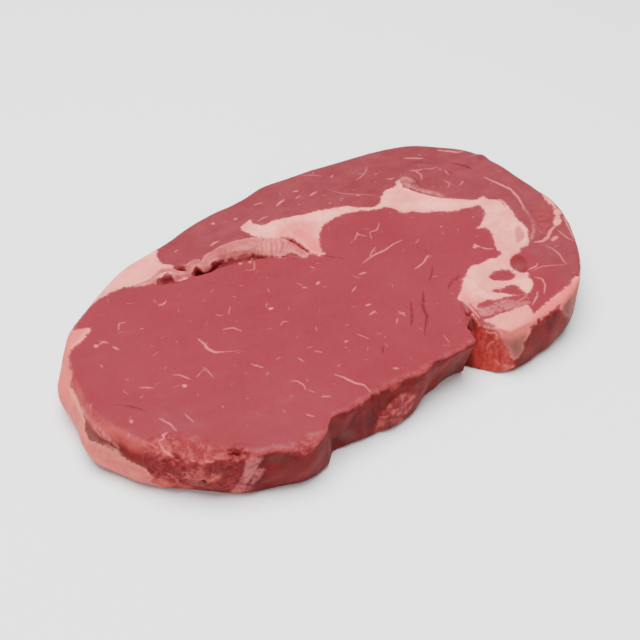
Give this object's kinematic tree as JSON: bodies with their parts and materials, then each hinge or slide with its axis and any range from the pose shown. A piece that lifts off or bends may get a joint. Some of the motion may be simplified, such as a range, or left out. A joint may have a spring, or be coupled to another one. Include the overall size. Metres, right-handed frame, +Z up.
{
  "type": "raw beef steak",
  "caption": "Thick slice of raw boneless rib-eye beef with marbling, a fat seam with an opened fold, and a fat cap round the left end.",
  "frame": {"origin": "on the surface that the steak lies on, under the middle of its bounding box", "axes": "+X along the steak from the fat-capped end to the tail, +Y across it towards the cap muscle, +Z up out of the upper cut face"},
  "size_m": [0.2154, 0.13, 0.0246],
  "materials": {
    "meat": "moist raw lean beef with fine grain, thin pale marbling and pinkish white fat"
  },
  "bodies": {
    "root": {"steak": "meat"}
  },
  "joints": []
}
